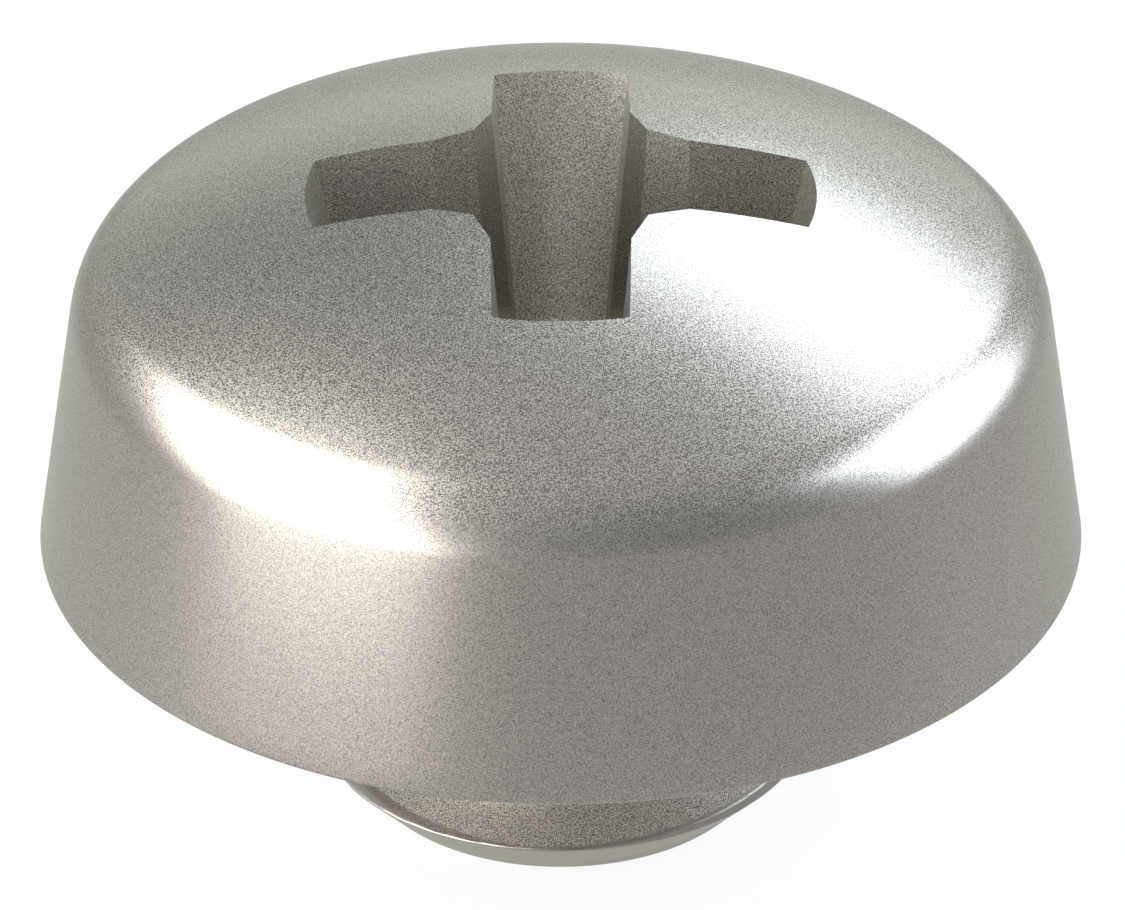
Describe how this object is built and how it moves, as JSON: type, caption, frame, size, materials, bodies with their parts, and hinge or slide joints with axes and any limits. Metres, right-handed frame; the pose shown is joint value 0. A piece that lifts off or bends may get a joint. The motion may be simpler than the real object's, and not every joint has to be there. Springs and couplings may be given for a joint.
{
  "type": "cheese head screw",
  "caption": "Short machine screw with a tapered, domed cheese head, a drafted cross recess for a driver and a chamfered flat end.",
  "frame": {"origin": "centre of the head's flat underside, on the screw's axis", "axes": "+Z along the axis from the underside to the crown, so the shank points along -Z; +X and +Y along two wings of the cross recess"},
  "size_m": [0.006, 0.006, 0.0039],
  "materials": {
    "stainless_steel": "satin"
  },
  "bodies": {
    "root": {"screw": "stainless_steel"}
  },
  "joints": []
}
